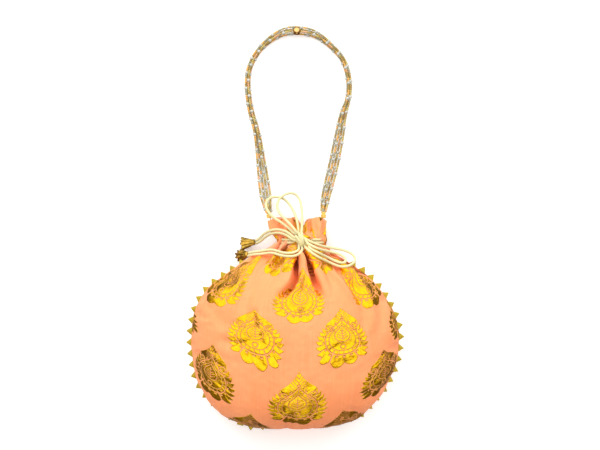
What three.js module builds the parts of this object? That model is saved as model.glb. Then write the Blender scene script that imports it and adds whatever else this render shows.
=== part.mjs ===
// A round drawstring pouch (potli) of foil-printed art silk. It lies on its back: its front faces
// +Z, its cinched neck and bead handle point to +Y, and its flattened back panel rests on Z = 0.
// Millimetres throughout.
import * as THREE from "three";

// Driving dimensions.
const clothThick = 1.0;
const liningThick = 0.8;
const gap = 0.3;
const panelColumns = 14;
const cordRadius = 1.4;
const strandRadius = 1.0;
const pearlPitch = 3.6;
const strandRest = 2.2;
const laceThick = 1.0;
const laceTip = 7.0;
const laceRoot = 1.8;
const laceTape = 0.4;
const laceToothPitch = 12.4;
const laceStartLeft = 67;
const laceStartRight = 68;
const knotCentre = [4.9, 88.8, 36];
const knotSize = [6, 6.5, 4.6];
const ballRadius = 4.25;
const ballBore = 1.8;
const ballHeight = 8.1;
const tieRadius = 3.4;
const tieLength = 3.4;
const tieGap = 2.0;
const bellLength = 14;
const bellTip = 3.1;
const bellMouth = 6.0;
const bellBead = 2.3;

// The bag's section at each height of the lying bag: y, the left and right seam, the seam's height
// over the surface, how far the front rises above the seam and how far the back drops below it.
const sections = [
  [-108.0, -5, 4, 30, 1, 1],
  [-106.5, -27, 25, 30, 14, 10],
  [-104.0, -42, 35, 30, 20, 15],
  [-98.0, -58, 56, 30, 29, 21],
  [-88.0, -76, 73, 30, 39, 28],
  [-77.0, -91, 84, 30, 46, 32],
  [-64.0, -101, 95, 30, 51, 34],
  [-50.0, -106, 102, 30, 54, 34],
  [-33.0, -108.5, 107.5, 30, 55, 34],
  [-16.0, -109.3, 109.3, 30, 55, 34],
  [4.0, -108.2, 105.5, 30, 53, 34],
  [20.0, -104, 98.5, 30, 50, 34],
  [36.0, -94, 89, 30, 43, 32],
  [50.0, -77.5, 77.5, 29, 34.5, 27],
  [60.0, -62, 64.5, 27.5, 27.5, 22],
  [70.0, -47, 47.5, 25, 20.5, 17],
  [78.0, -32.5, 35, 22.5, 14.5, 13],
  [84.0, -18.8, 30.8, 20, 10, 9.5],
  [91.0, -18.8, 30.8, 20, 10, 9.5],
  [97.0, -22.5, 31.8, 18, 9.6, 9.2],
  [111.7, -26.8, 32.8, 14, 9, 9],
];
const bottomY = sections[0][0];
const mouthY = sections[sections.length - 1][0];

// The handle's centre line from the left frill corner over the top to the right one:
// x, y, the width of the bundle of strands, and its lift off the surface.
const handleLine = [
  [-28.2, 117.4, 4.4, 10],
  [-30.2, 125, 7, 5.5],
  [-32.0, 136, 10, 0.8],
  [-34.0, 150, 10, 0],
  [-37.3, 175.8, 7.5, 0],
  [-41.5, 203.6, 5, 0],
  [-47.7, 226.2, 4.4, 0],
  [-50.6, 245.7, 4, 0],
  [-51.0, 259.8, 3.8, 0],
  [-49.2, 271.3, 3.8, 0],
  [-43.6, 283.9, 3.8, 0],
  [-33.7, 296.5, 4.2, 0],
  [-21.1, 306.2, 5.6, 0],
  [-10.0, 310.8, 7, 0],
  [0.8, 311.8, 7, 0],
  [15.6, 309.8, 6.6, 0],
  [28.2, 303.4, 4.8, 0],
  [39.4, 293.6, 3.8, 0],
  [49.3, 282.3, 3.6, 0],
  [55.0, 268.3, 3.6, 0],
  [57.1, 252.7, 3.6, 0],
  [55.8, 238.7, 3.8, 0],
  [50.7, 222.0, 6, 0],
  [46.1, 196.8, 8.5, 0],
  [41.9, 175.4, 9, 0],
  [37.9, 157.4, 9, 0],
  [33.0, 138.2, 8, 0.8],
  [30.6, 126.0, 6, 5.5],
  [29.6, 117.4, 4.4, 10],
];
const ballX = 0.8;
const ballHumpWidth = 13;

// Routes of the two drawcords, tied in one bow: x, y and the least height of the cord's centre.
// Each place is raised to lie on the cloth where the cloth is higher.
const drawcordRoutes = {
  a: {
    top_loop: [
      [-0.4, 94.0, 33.4], [-5.4, 99.6, 31.5], [-14.4, 106.8, 28], [-22.4, 111.6, 25],
      [-28.0, 117.0, 22.5], [-31.2, 123.6, 19], [-31.0, 129.2, 16], [-26.8, 133.4, 12.5],
      [-20.0, 134.4, 9], [-14.2, 133.2, 6.5], [-8.2, 128.7, 6], [-2.8, 120.6, 12],
      [0.6, 112.6, 25], [2.4, 104.0, 27.5], [3.4, 96.0, 32.6],
    ],
    side_loop: [
      [11.8, 89.2, 38.4], [17.6, 86.0, 38.6], [25.8, 83.0, 36], [34.4, 81.0, 32],
      [44.6, 79.4, 28.5], [54.8, 76.6, 28.5], [61.0, 72.6, 31], [62.8, 68.2, 34],
      [59.4, 63.8, 38], [51.0, 60.8, 40], [43.0, 62.2, 36], [32.5, 66.8, 36],
      [20.5, 73.0, 36], [12.4, 79.4, 36], [9.6, 82.4, 36],
    ],
    upper_tail: [
      [-1.8, 91.2, 36.2], [-8.0, 96.6, 33], [-17.0, 99.6, 28.5], [-25.6, 98.8, 23],
      [-33.8, 94.8, 15.5], [-38.8, 89.6, 11], [-42.4, 88.0, 9.4],
    ],
    lower_tail: [
      [3.4, 81.3, 36], [3.2, 78.4, 36], [-0.2, 76.2, 36], [-6.3, 75.1, 36], [-14.2, 75.8, 34],
      [-25.1, 78.6, 31], [-36.3, 77.0, 28.4], [-44.0, 76.0, 27.4], [-49.4, 75.0, 22.6],
    ],
  },
  b: {
    top_loop: [
      [1.8, 95.4, 37.2], [-2.4, 101.5, 35.2], [-8.0, 107.5, 32], [-13.4, 113.0, 28],
      [-18.2, 119.2, 21], [-19.6, 125.8, 16], [-17.6, 131.7, 13], [-12.7, 136.1, 9.5],
      [-5.3, 138.7, 5], [0.8, 136.9, 3.4], [4.6, 131.0, 4], [6.4, 122.2, 10],
      [6.9, 113.0, 25], [6.8, 105.0, 28.6], [6.2, 96.2, 35.6],
    ],
    side_loop: [
      [11.6, 85.8, 40], [17.2, 82.6, 41.4], [25.2, 79.2, 40], [34.6, 76.8, 35],
      [44.0, 74.6, 31], [50.6, 71.2, 31], [52.8, 67.6, 33], [50.4, 64.8, 36],
      [44.6, 65.6, 36], [34.4, 70.2, 36], [22.4, 76.2, 36], [15.6, 79.8, 36],
      [12.8, 83.4, 36],
    ],
    upper_tail: [
      [-2.0, 88.0, 36.2], [-8.4, 93.2, 33], [-17.0, 96.2, 28.5], [-24.8, 95.4, 22],
      [-31.8, 92.0, 15], [-37.4, 87.0, 11], [-42.6, 84.8, 9.2],
    ],
    lower_tail: [
      [6.8, 81.3, 36], [6.6, 77.6, 36], [2.0, 73.2, 36], [-5.3, 71.8, 36], [-14.2, 72.6, 34],
      [-25.1, 75.3, 31], [-36.3, 74.0, 30.5], [-44.6, 73.3, 27.6], [-49.8, 71.8, 22.6],
    ],
  },
};
const neckRingY = { a: 85.9, b: 89.1 };

// The two latkans at the cord ends: the middle of the tip, and the way its mouth points.
const latkans = [
  { name: "upper", tip: [-43.4, 86.3, 9.4], towards: [-1, -0.12, -0.1] },
  { name: "lower", tip: [-50.4, 73.3, 21.6], towards: [-0.6, -0.1, -0.79] },
];

const finishes = {
  silk: { color: 0xf9a66f, roughness: 0.6 },
  lining: { color: 0xf2b28a, roughness: 0.8 },
  lace: { color: 0xc8b428, roughness: 0.4, metalness: 0.8 },
  satin: { color: 0xf3e9b0, roughness: 0.4 },
  gold: { color: 0xd8b45a, roughness: 0.25, metalness: 1 },
  latkan: { color: 0xe8c440, roughness: 0.4, metalness: 0.7 },
  beads: { color: 0xc9b45a, roughness: 0.3, metalness: 0.3 },
  thread: { color: 0xf2d050, roughness: 0.6 },
};

const potli = new THREE.Group();

function addPiece(name, geometry, finish, place) {
  const mesh = new THREE.Mesh(geometry, new THREE.MeshStandardMaterial(finishes[finish]));
  mesh.name = name;
  if (place) mesh.position.set(...place);
  potli.add(mesh);
  return mesh;
}

// The section of the bag at height y, found between the two stated ones.
function sectionAt(y) {
  const next = Math.max(1, sections.findIndex((row) => row[0] >= Math.min(y, mouthY)));
  const low = sections[next - 1];
  const high = sections[next];
  const share = (y - low[0]) / (high[0] - low[0]);
  const [, left, right, seam, rise, drop] = low.map((v, i) => v + (high[i] - v) * share);
  return { left, right, seam, rise, drop };
}

// A point of the bag's front (side 1) or back (side -1), inset from the outer face.
// row is the number of the stated section, and across runs from the left seam (0) to the right (1).
function skinPoint(side, inset, row, across) {
  const [faceY, left, right, seam, rise, drop] = sections[row];
  const y = faceY + inset * (1 - row / (sections.length - 1)) ** 4;
  const halfWidth = Math.max(0.5, (right - left) / 2 - inset);
  const bow = Math.sin(Math.PI * across);
  const x = (left + right) / 2 - halfWidth * Math.cos(Math.PI * across);
  const seamGap = gap / 2 + 0.05;
  if (side > 0) return [x, y, seam + seamGap + Math.max(0.5, rise - inset) * bow ** 0.9];
  return [x, y, Math.max(inset, seam - seamGap - Math.max(0.5, drop - inset) * bow ** 0.7)];
}

// The height of the front cloth over a place in plan, or of the bare surface beside the bag.
function clothTop(x, y) {
  if (y <= bottomY || y >= mouthY) return 0;
  const { left, right, seam, rise } = sectionAt(y);
  const off = (2 * x - left - right) / (right - left);
  return Math.abs(off) < 1 ? seam + gap + rise * (1 - off * off) ** 0.45 : 0;
}

// The least height of a cord's centre over a place, where the cord just clears the cloth.
function cordRest(x, y) {
  let height = clothTop(x, y) + cordRadius;
  for (let i = 0; i < 16; i++) {
    const reach = cordRadius * (i % 2 ? 0.6 : 0.95);
    const angle = (Math.PI * i) / 8;
    const top = clothTop(x + reach * Math.cos(angle), y + reach * Math.sin(angle));
    height = Math.max(height, top + Math.sqrt(cordRadius ** 2 - reach ** 2));
  }
  return height + 2 * gap;
}

// One closed body between two grids of points of the same size, the first facing out.
function closedShell(outer, inner, flip) {
  const rows = outer.length;
  const columns = outer[0].length;
  const index = [];
  const at = (row, column, layer) => layer * rows * columns + row * columns + column;
  const quad = (a, b, c, d) => index.push(a, b, c, a, c, d);
  for (let row = 0; row < rows - 1; row++) {
    for (let column = 0; column < columns - 1; column++) {
      const ring = [[0, 0], [0, 1], [1, 1], [1, 0]];
      quad(...ring.map(([r, c]) => at(row + r, column + c, 0)));
      quad(...ring.reverse().map(([r, c]) => at(row + r, column + c, 1)));
    }
  }
  const border = [];
  for (let column = 0; column < columns - 1; column++) border.push([0, column]);
  for (let row = 0; row < rows - 1; row++) border.push([row, columns - 1]);
  for (let column = columns - 1; column > 0; column--) border.push([rows - 1, column]);
  for (let row = rows - 1; row > 0; row--) border.push([row, 0]);
  border.forEach(([row, column], i) => {
    const [nextRow, nextColumn] = border[(i + 1) % border.length];
    const here = [at(row, column, 0), at(row, column, 1)];
    const there = [at(nextRow, nextColumn, 0), at(nextRow, nextColumn, 1)];
    quad(there[0], here[0], here[1], there[1]);
  });
  if (flip) index.reverse();
  const geometry = new THREE.BufferGeometry();
  const points = [...outer.flat(), ...inner.flat()].flat();
  geometry.setAttribute("position", new THREE.Float32BufferAttribute(points, 3));
  geometry.setIndex(index);
  return geometry;
}

// A cloth panel: the front or back half of the bag between two insets.
function panel(side, outerInset, innerInset) {
  const grid = (inset) =>
    sections.map((_, row) =>
      Array.from({ length: panelColumns + 1 }, (_, column) =>
        skinPoint(side, inset, row, column / panelColumns)));
  return closedShell(grid(outerInset), grid(innerInset), side < 0);
}

// A round tube along a smooth curve through the points, with plain cut ends.
function tube(points, radius, steps) {
  const path = new THREE.CatmullRomCurve3(points, false, "centripetal");
  const ring = Array.from({ length: 8 }, (_, i) => {
    const angle = (Math.PI * 2 * i) / 8;
    return new THREE.Vector2(radius * Math.cos(angle), radius * Math.sin(angle));
  });
  return new THREE.ExtrudeGeometry(new THREE.Shape(ring), { steps, extrudePath: path });
}

// The bag: an outer front and back of printed art silk, and a lining of the same cut.
const liningFace = clothThick + 4 * gap;
addPiece("front_panel", panel(1, 0, clothThick), "silk");
addPiece("back_panel", panel(-1, 0, clothThick), "silk");
addPiece("front_lining", panel(1, liningFace, liningFace + liningThick), "lining");
addPiece("back_lining", panel(-1, liningFace, liningFace + liningThick), "lining");

// The lace of small points caught in the side seam, from shoulder to shoulder round the bottom.
function seamLine() {
  const left = sections.filter(([y]) => y < laceStartLeft).reverse();
  const right = sections.filter(([y]) => y < laceStartRight);
  const start = sectionAt(laceStartLeft);
  const end = sectionAt(laceStartRight);
  const points = [
    new THREE.Vector3(start.left, laceStartLeft, start.seam),
    ...left.map(([y, x, , z]) => new THREE.Vector3(x, y, z)),
    ...right.map(([y, , x, z]) => new THREE.Vector3(x, y, z)),
    new THREE.Vector3(end.right, laceStartRight, end.seam),
  ];
  return new THREE.CatmullRomCurve3(points, false, "centripetal");
}

function lace() {
  const seam = seamLine();
  const teeth = Math.round(seam.getLength() / laceToothPitch);
  const shapeOfTooth = [[0.22, laceRoot], [0.5, laceTip], [0.78, laceRoot]];
  const faces = [[], []];
  for (let tooth = 0; tooth < teeth; tooth++) {
    for (const [part, reach] of shapeOfTooth) {
      const share = (tooth + part) / teeth;
      const place = seam.getPointAt(share);
      const way = seam.getTangentAt(share).setZ(0).normalize();
      [laceThick / 2, -laceThick / 2].forEach((z, face) => {
        faces[face].push([laceTape, reach].map((out) =>
          [place.x + way.y * out, place.y - way.x * out, place.z + z]));
      });
    }
  }
  return closedShell(faces[0], faces[1], false);
}
addPiece("gota_lace", lace(), "lace");

// The bow: one knot on the front of the neck, holding both drawcords.
const knot = new THREE.SphereGeometry(1, 12, 8);
knot.scale(...knotSize);
addPiece("bow_knot", knot, "satin", knotCentre);

// A drawcord's stretch along its listed route, raised to lie on the cloth.
function laidStretch(route) {
  const listed = new THREE.CatmullRomCurve3(
    route.map((place) => new THREE.Vector3(...place)), false, "centripetal");
  const steps = Math.max(6, Math.round(listed.getLength() / 6.5));
  const laid = listed.getSpacedPoints(steps).map(({ x, y, z }) =>
    new THREE.Vector3(x, y, Math.max(z, cordRest(x, y))));
  return tube(laid, cordRadius, steps);
}

// The stretch round the back of the cinched neck, from one side of the knot to the other.
function neckRing(y) {
  const { left, right, seam, rise, drop } = sectionAt(y);
  const steps = 20;
  const startAngle = 0.32;
  const endAngle = 2 * Math.PI - 0.28;
  const points = Array.from({ length: steps + 1 }, (_, i) => {
    const angle = startAngle + ((endAngle - startAngle) * i) / steps;
    const up = Math.cos(angle);
    const off = cordRadius + (up > 0 ? 3 : 6) * gap;
    const halfHeight = (up > 0 ? rise : drop) + off;
    const x = (left + right) / 2 - ((right - left) / 2 + off) * Math.sin(angle);
    return new THREE.Vector3(x, y, seam + halfHeight * up);
  });
  return tube(points, cordRadius, steps);
}

for (const [cord, routes] of Object.entries(drawcordRoutes)) {
  addPiece(`drawcord_${cord}_neck`, neckRing(neckRingY[cord]), "satin");
  for (const [stretch, route] of Object.entries(routes))
    addPiece(`drawcord_${cord}_${stretch}`, laidStretch(route), "satin");
}

// The latkans: a flared bell of gold cloth on each pair of cord ends, with a bead in its mouth.
const bellProfile = [
  [0, 0], [bellTip, 0], [bellTip + 0.4, 0.35 * bellLength], [bellMouth, bellLength],
  [bellMouth - 0.7, bellLength], [bellTip - 0.6, 0.45 * bellLength], [0, 0.4 * bellLength],
].map(([radius, along]) => new THREE.Vector2(radius, along));
const upright = new THREE.Vector3(0, 1, 0);

for (const { name, tip, towards } of latkans) {
  const way = new THREE.Vector3(...towards).normalize();
  const bell = addPiece(`latkan_${name}_bell`, new THREE.LatheGeometry(bellProfile, 12), "latkan", tip);
  bell.quaternion.setFromUnitVectors(upright, way);
  const beadPlace = way.clone().multiplyScalar(bellLength).add(new THREE.Vector3(...tip));
  addPiece(`latkan_${name}_bead`, new THREE.SphereGeometry(bellBead, 10, 6), "gold", beadPlace.toArray());
}

// The handle: four strands of beads side by side, every second one lying on its neighbours where
// the bundle is narrow. The second strand rises through the gold ball at the top.
function strandPoints(strand) {
  return handleLine.map(([x, y, width, lift], i) => {
    const before = handleLine[Math.max(0, i - 1)];
    const after = handleLine[Math.min(handleLine.length - 1, i + 1)];
    const length = Math.hypot(after[0] - before[0], after[1] - before[1]);
    const across = (strand / 3 - 0.5) * width;
    const stacked = strand % 2 ? Math.sqrt(Math.max(0, pearlPitch ** 2 - (width / 3) ** 2)) : 0;
    const nearBall = y > 300 ? Math.exp(-(((x - ballX) / ballHumpWidth) ** 2)) : 0;
    const low = strandRest + lift + stacked;
    const height = strand === 1 ? low + (ballHeight - low) * nearBall : low;
    return new THREE.Vector3(
      x - (across * (after[1] - before[1])) / length,
      y + (across * (after[0] - before[0])) / length,
      height);
  });
}
for (let strand = 0; strand < 4; strand++)
  addPiece(`handle_strand_${strand + 1}`, tube(strandPoints(strand), strandRadius, 58), "beads");

// The gold ball, bored for the strand that carries it.
const ballCurve = new THREE.CatmullRomCurve3(strandPoints(1), false, "centripetal");
const ballShare = Array.from({ length: 201 }, (_, i) => 0.4 + i / 1000).reduce((best, share) =>
  Math.abs(ballCurve.getPointAt(share).x - ballX) < Math.abs(ballCurve.getPointAt(best).x - ballX)
    ? share : best);
const boreHalf = Math.sqrt(ballRadius ** 2 - ballBore ** 2);
const boreAngle = Math.acos(ballBore / ballRadius);
const ballProfile = [new THREE.Vector2(ballBore, -boreHalf)];
for (let i = 1; i < 8; i++) {
  const angle = -boreAngle + (2 * boreAngle * i) / 8;
  ballProfile.push(new THREE.Vector2(ballRadius * Math.cos(angle), ballRadius * Math.sin(angle)));
}
ballProfile.push(new THREE.Vector2(ballBore, boreHalf), new THREE.Vector2(ballBore, -boreHalf));
const ballPlace = ballCurve.getPointAt(ballShare);
const ball = addPiece("handle_ball", new THREE.LatheGeometry(ballProfile, 14), "gold", ballPlace.toArray());
ball.quaternion.setFromUnitVectors(upright, ballCurve.getTangentAt(ballShare));

// The wraps of thread that fasten each end of the handle to a corner of the frill.
const tieEnds = { left: handleLine[0], right: handleLine[handleLine.length - 1] };
for (const [side, [x, y, , lift]] of Object.entries(tieEnds)) {
  const centre = [x, y - tieGap - tieLength / 2, strandRest + lift + 1.6];
  addPiece(`handle_tie_${side}`, new THREE.CylinderGeometry(tieRadius, tieRadius, tieLength, 12), "thread", centre);
}

export default potli;
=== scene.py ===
# A round drawstring pouch (potli) of foil-printed art silk, laid on its back with its bow tied
# and its bead handle spread above it. The bag's sizes are in millimetres, and MM turns them into
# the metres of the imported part's frame.
import math

import bpy
import numpy as np
from mathutils import Matrix, Vector, bvhtree, noise


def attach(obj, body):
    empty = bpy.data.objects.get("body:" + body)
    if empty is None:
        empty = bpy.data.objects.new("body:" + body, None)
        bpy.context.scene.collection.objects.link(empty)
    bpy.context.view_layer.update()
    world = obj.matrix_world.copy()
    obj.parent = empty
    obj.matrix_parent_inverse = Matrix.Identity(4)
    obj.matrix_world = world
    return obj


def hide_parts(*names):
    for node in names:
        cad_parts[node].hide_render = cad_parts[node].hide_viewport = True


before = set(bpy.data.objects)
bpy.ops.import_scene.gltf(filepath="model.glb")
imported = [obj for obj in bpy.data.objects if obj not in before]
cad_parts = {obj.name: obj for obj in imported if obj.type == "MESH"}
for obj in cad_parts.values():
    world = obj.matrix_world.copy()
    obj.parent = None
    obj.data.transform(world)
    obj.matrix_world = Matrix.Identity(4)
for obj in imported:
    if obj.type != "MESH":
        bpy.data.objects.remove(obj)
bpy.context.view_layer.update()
MM = 0.001

# ---------------------------------------------------------------- the studio
# A plain pale table under the bag, a white studio overhead that the foil mirrors, a small card at
# its foot, and two soft lights that only the cloth feels. The camera looks straight down.
scene = bpy.context.scene
scene.view_settings.view_transform = "Standard"
scene.view_settings.look = "None"

camera_data = bpy.data.cameras.new("camera")
camera_data.lens = 100
camera_data.sensor_width = 36
camera = bpy.data.objects.new("camera", camera_data)
camera.location = (0.0047, 0.1044, 1.78)
scene.collection.objects.link(camera)
scene.camera = camera


def studio_light(name, place, aim, size, radiance, mirrored=True):
    """A square soft light of even radiance at place, turned to aim."""
    data = bpy.data.lights.new(name, "AREA")
    data.size = size
    data.energy = radiance * math.pi * size * size
    light = bpy.data.objects.new(name, data)
    light.location = place
    light.rotation_euler = (Vector(aim) - Vector(place)).to_track_quat("-Z", "Y").to_euler()
    light.visible_glossy = mirrored
    scene.collection.objects.link(light)


bag_middle = (0.0, 0.0, 0.03)
studio_light("foot_card", (0.05, -1.3, 0.75), bag_middle, 0.8, 1.0)
studio_light("cloth_left", (-0.9, 1.3, 0.95), bag_middle, 0.8, 5.0, mirrored=False)
studio_light("cloth_right", (1.0, 1.2, 0.9), bag_middle, 0.8, 2.6, mirrored=False)

# The studio round the table: white overhead and behind, dim and brown low at the foot.
world = bpy.data.worlds.new("studio")
world.use_nodes = True
links, nodes = world.node_tree.links, world.node_tree.nodes
FOOT_COLOUR = (1.0, 0.52, 0.3, 1)
OVERHEAD_COLOUR = (1.0, 1.0, 1.0, 1)
FOOT_STRENGTH = 0.1
ADDED_STRENGTH = 1.35
way = nodes.new("ShaderNodeTexCoord")
height = nodes.new("ShaderNodeVectorMath")
height.operation = "DOT_PRODUCT"
height.inputs[1].default_value = (0.0, 0.8, 0.9)
white_part = nodes.new("ShaderNodeMapRange")
white_part.interpolation_type = "SMOOTHSTEP"
for key, value in {"From Min": 0.0, "From Max": 0.64, "To Min": 0.0, "To Max": 1.0}.items():
    white_part.inputs[key].default_value = value
strength = nodes.new("ShaderNodeMath")
strength.operation = "MULTIPLY_ADD"
strength.inputs[1].default_value = ADDED_STRENGTH
strength.inputs[2].default_value = FOOT_STRENGTH
colour = nodes.new("ShaderNodeMix")
colour.data_type = "RGBA"
colour.inputs[6].default_value = FOOT_COLOUR
colour.inputs[7].default_value = OVERHEAD_COLOUR
links.new(way.outputs["Generated"], height.inputs[0])
links.new(height.outputs["Value"], white_part.inputs["Value"])
links.new(white_part.outputs["Result"], strength.inputs[0])
links.new(white_part.outputs["Result"], colour.inputs[0])
links.new(strength.outputs[0], nodes["Background"].inputs["Strength"])
links.new(colour.outputs[2], nodes["Background"].inputs["Color"])
scene.world = world

bpy.ops.object.select_all(action="DESELECT")
bpy.ops.mesh.primitive_plane_add(size=8, location=(0, 0, -0.0004))
table = bpy.context.object
table.name = "table"
table_paint = bpy.data.materials.new("table_white")
table_paint.use_nodes = True
table_shader = table_paint.node_tree.nodes["Principled BSDF"]
for key, value in {"Base Color": (0.95, 0.95, 0.95, 1), "Roughness": 0.9,
                   "Emission Color": (1, 1, 1, 1), "Emission Strength": 0.25}.items():
    table_shader.inputs[key].default_value = value
table.data.materials.append(table_paint)
table.visible_glossy = False


# ---------------------------------------------------------------- the silk and its foil print
# Peach art silk with upright slubs, printed all over with gold foil leaf motifs in a half-drop
# repeat. The pattern is laid on the flat cloth, so it gathers and turns with it.
REPEAT = (96, 108)
MOTIF_STRETCH = (1.12, 0.94)
SILK = (0.98, 0.35, 0.135, 1)
SILK_PALE = (0.98, 0.41, 0.18, 1)
SILK_DEEP = (0.95, 0.27, 0.085, 1)
GOLD = (1.0, 0.7, 0.01, 1)
GOLD_DEEP = (0.88, 0.48, 0.008, 1)
GOLD_DULL = (0.4, 0.2, 0.012, 1)


class Socket:
    """A shader socket that Python's operators work on."""

    def __init__(self, tree, socket):
        self.tree = tree
        self.socket = socket

    def math(self, operation, *others, clamp=False):
        node = self.tree.nodes.new("ShaderNodeMath")
        node.operation = operation
        node.use_clamp = clamp
        for slot, value in zip(node.inputs, (self, *others)):
            plug(self.tree, value, slot)
        return Socket(self.tree, node.outputs[0])

    def __add__(self, other):
        return self.math("ADD", other)

    def __sub__(self, other):
        return self.math("SUBTRACT", other)

    def __mul__(self, other):
        return self.math("MULTIPLY", other)

    def __truediv__(self, other):
        return self.math("DIVIDE", other)

    def __rsub__(self, other):
        return (self * -1).math("ADD", other)

    __radd__ = __add__
    __rmul__ = __mul__

    def abs(self):
        return self.math("ABSOLUTE")

    def wrap(self, half):
        return self.math("WRAP", half, -half)

    def most(self, other):
        return self.math("MAXIMUM", other)

    def spread(self, low, gain):
        """0 up to low, then rising gain times as fast as this, and no higher than 1."""
        return (self - low).math("MULTIPLY", gain, clamp=True)

    def below(self, limit, soft):
        """1 where this is less than limit, 0 above it, with a soft edge between."""
        return ((limit - self) / soft + 0.5).math("ADD", 0.0, clamp=True)

    def line(self, centre, half, soft):
        """1 on a line where this is within half of centre."""
        return (self - centre).abs().below(half, soft)


def plug(tree, value, slot):
    if isinstance(value, Socket):
        tree.links.new(value.socket, slot)
    else:
        slot.default_value = value


class Finish:
    """A material and its nodes, made one after another."""

    def __init__(self, name):
        self.material = bpy.data.materials.new(name)
        self.material.use_nodes = True
        self.tree = self.material.node_tree
        self.shader = self.tree.nodes["Principled BSDF"]

    def node(self, kind, settings=None, inputs=None, output=0):
        made = self.tree.nodes.new(kind)
        for key, value in (settings or {}).items():
            setattr(made, key, value)
        for key, value in (inputs or {}).items():
            plug(self.tree, value, made.inputs[key])
        return Socket(self.tree, made.outputs[output])

    def place(self, scale=(1, 1, 1), uv=False):
        """Object coordinates, or the piece's own flat cloth coordinates, times scale."""
        kind = "UV" if uv else "Object"
        raw = self.node("ShaderNodeTexCoord", output=kind)
        return self.node("ShaderNodeMapping", None, {"Vector": raw, "Scale": scale})

    def axes(self, vector):
        """The first two coordinates of a vector."""
        split = self.node("ShaderNodeSeparateXYZ", None, {"Vector": vector})
        return split, Socket(self.tree, split.socket.node.outputs[1])

    def noise(self, vector, scale, detail=2.0, roughness=0.5):
        return self.node("ShaderNodeTexNoise", None,
                         {"Vector": vector, "Scale": scale, "Detail": detail, "Roughness": roughness})

    def blend(self, factor, first, second):
        return self.node("ShaderNodeMix", {"data_type": "RGBA"},
                         {0: factor, 6: first, 7: second}, output=2)

    def bump(self, height, strength, distance, normal=None):
        inputs = {"Height": height, "Strength": strength, "Distance": distance}
        if normal:
            inputs["Normal"] = normal
        return self.node("ShaderNodeBump", None, inputs)

    def set(self, **values):
        for key, value in values.items():
            plug(self.tree, value, self.shader.inputs[key.replace("_", " ")])
        return self


def distance(x, y):
    """How far each place is from the centre that its x and y are measured from."""
    return (x * x + y * y).math("SQRT")


def foil_motif(x, y):
    """1 where the foil is: one leaf motif about (0, 0), about 56 wide and 69 high in millimetres.
    Angle is the turn from the tip, and level goes from 0 at the middle to 1 on the outline."""
    middle_y = y + 4
    angle = x.abs().math("ARCTAN2", middle_y)
    cusp = (angle * -4.2).math("EXPONENT")
    ogee = cusp * 12 + 27 + (angle * 2).math("SINE") * -1.5 + (angle * angle) * 0.35
    level = distance(x, middle_y) / ogee
    # Fronds down the sides and curled lobes round the foot.
    teeth = (angle * 4.6 + level * 0.9).math("FRACT")
    fronds = angle.line(1.45, 0.75, 0.1)
    lobes = (angle * 4.9).math("SINE").abs()
    foot = 1 - angle.below(2.15, 0.1)
    edge = 1 - teeth * 0.15 * fronds - (1 - lobes) * 0.16 * foot
    foil = (level / edge).below(1, 0.5 / 28)
    frond_gap = (1 - teeth.line(0.5, 0.42, 0.1)) * fronds * (1 - level.below(0.76, 0.02))
    lobe_gap = lobes.below(0.16, 0.1) * foot * (1 - level.below(0.55, 0.02))
    # The ogee band with its row of dots.
    band = level.line(0.64, 0.018, 0.02)
    dots = (angle * 9).math("SINE").abs().below(0.55, 0.2) * level.line(0.71, 0.022, 0.02)
    # The drop at the heart, with a sprig of leaves in it.
    heart_y = y + 1
    heart_angle = x.abs().math("ARCTAN2", heart_y)
    heart = distance(x, heart_y) / ((heart_angle * -3.5).math("EXPONENT") * 5 + 8)
    drop = heart.line(1.0, 0.05, 0.06)
    veins = ((heart_y - x.abs() * 0.7) / 3.4).math("FRACT").line(0.5, 0.12, 0.1)
    sprig = veins.most(x.abs().below(0.3, 0.3)) * heart.below(0.72, 0.05)
    # A pair of scrolls on the shoulders, and a small flower under the heart.
    scroll_x = x.abs() - 13.5
    scroll_y = y - 10
    scroll_turn = scroll_x.math("ARCTAN2", scroll_y) * 0.5
    scrolls = (distance(scroll_x, scroll_y) - 3.6 + scroll_turn).line(0, 0.45, 0.5)
    flower = distance(x, y + 15).line(2.6, 0.4, 0.5)
    # A fine second line with small petals between the two, a vein in each frond, chevrons up the
    # tip, and rays round the heart.
    fine_line = level.line(0.5, 0.01, 0.014)
    petals = (angle * 11).math("SINE").line(0, 0.16, 0.16) * level.line(0.57, 0.05, 0.02)
    frond_vein = teeth.line(0.0, 0.05, 0.05) * fronds * level.line(0.84, 0.07, 0.03)
    chevron = (y * 0.26 - x.abs() * 0.3).math("FRACT").line(0.5, 0.1, 0.08)
    chevrons = chevron * x.abs().below(7.5, 1.0) * (1 - y.below(15, 0.6)) * (1 - band)
    chevrons = chevrons * (1 - level.below(0.7, 0.02))
    ray = (angle * 16).math("SINE").line(0, 0.2, 0.2)
    rays = ray * heart.line(1.28, 0.13, 0.05) * level.below(0.48, 0.01)
    gaps = band
    for cut in (dots, drop, sprig, scrolls, flower, fine_line, petals, frond_vein, chevrons, rays,
                frond_gap, lobe_gap):
        gaps = gaps.most(cut)
    return foil * (1 - gaps)


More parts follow.
